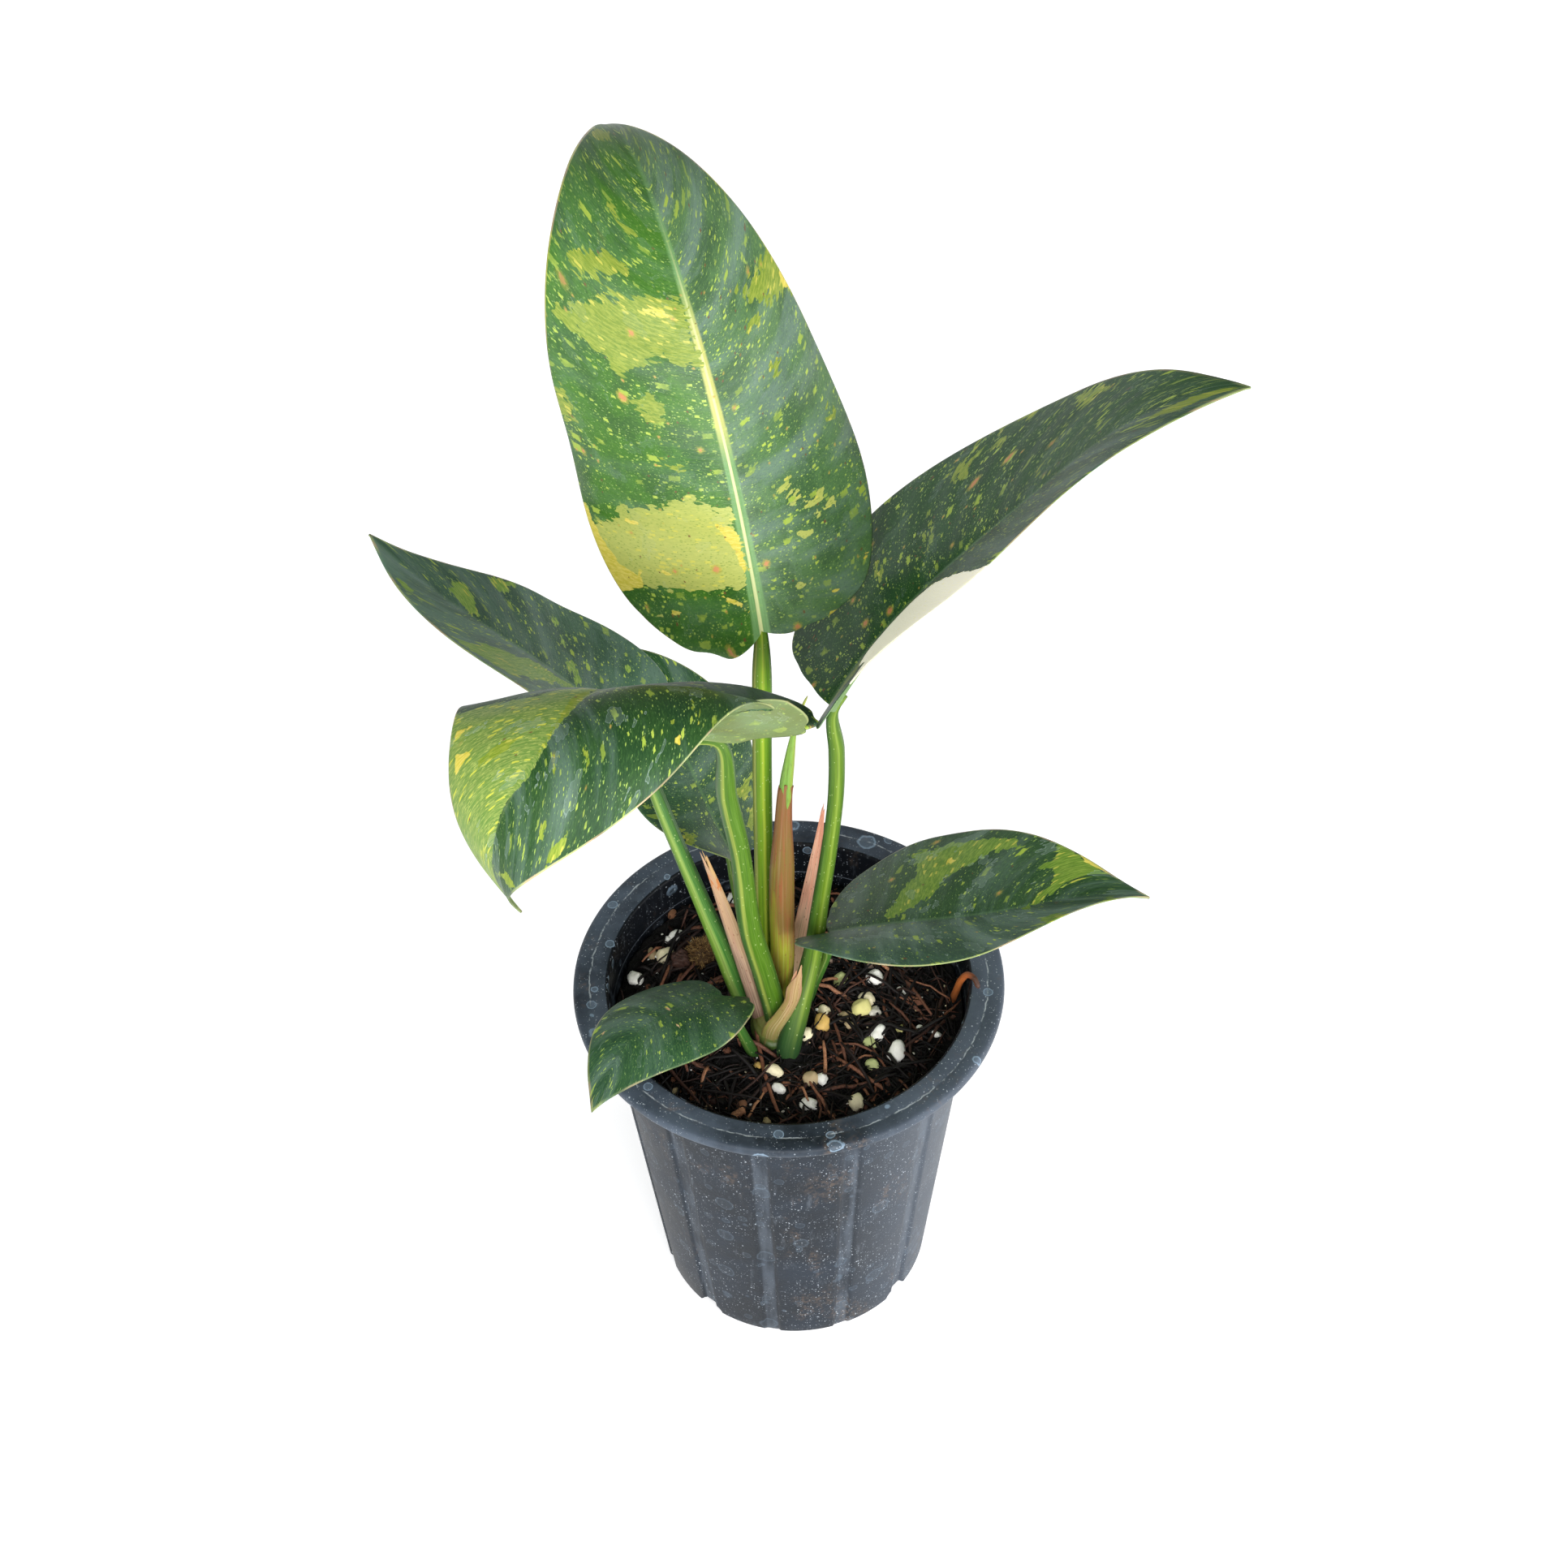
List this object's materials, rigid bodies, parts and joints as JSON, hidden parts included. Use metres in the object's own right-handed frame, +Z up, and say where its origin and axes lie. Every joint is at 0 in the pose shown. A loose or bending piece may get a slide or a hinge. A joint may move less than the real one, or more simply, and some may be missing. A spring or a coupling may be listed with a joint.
{
  "type": "potted variegated philodendron",
  "caption": "Young variegated philodendron with heart-shaped leaves on long stalks, growing in a fluted round nursery pot of bark and perlite mix.",
  "frame": {"origin": "centre of the pot's flat underside", "axes": "+Z up out of the pot, -Y towards the viewer of the picture, +X to the viewer's right"},
  "size_m": [0.2684, 0.2422, 0.4143],
  "materials": {
    "pot": "matt, dusty, with dried water marks",
    "potting_mix": "rough and fibrous, with white perlite",
    "leaf": "waxy semi-gloss, green marbled with lime and cream",
    "stalk": "smooth waxy, green with yellow stripes",
    "sheath": "dry and papery, salmon to tan",
    "new_leaf": "smooth waxy, pale green",
    "crown": "rough, yellow-green to brown",
    "root": "matt, orange-brown"
  },
  "bodies": {
    "root": {"pot": "pot", "potting_mix": "potting_mix", "blade_a": "leaf", "blade_b": "leaf", "blade_c": "leaf", "blade_d": "leaf", "blade_e": "leaf", "blade_f": "leaf", "blade_g": "leaf", "stalk_a": "stalk", "stalk_b": "stalk", "stalk_c": "stalk", "stalk_d": "stalk", "stalk_e": "stalk", "stalk_f": "stalk", "stalk_g": "stalk", "spear": "new_leaf", "sheath_tall": "sheath", "sheath_left": "sheath", "sheath_right": "sheath", "sheath_front": "sheath", "crown": "crown", "rim_root": "root"}
  },
  "joints": []
}
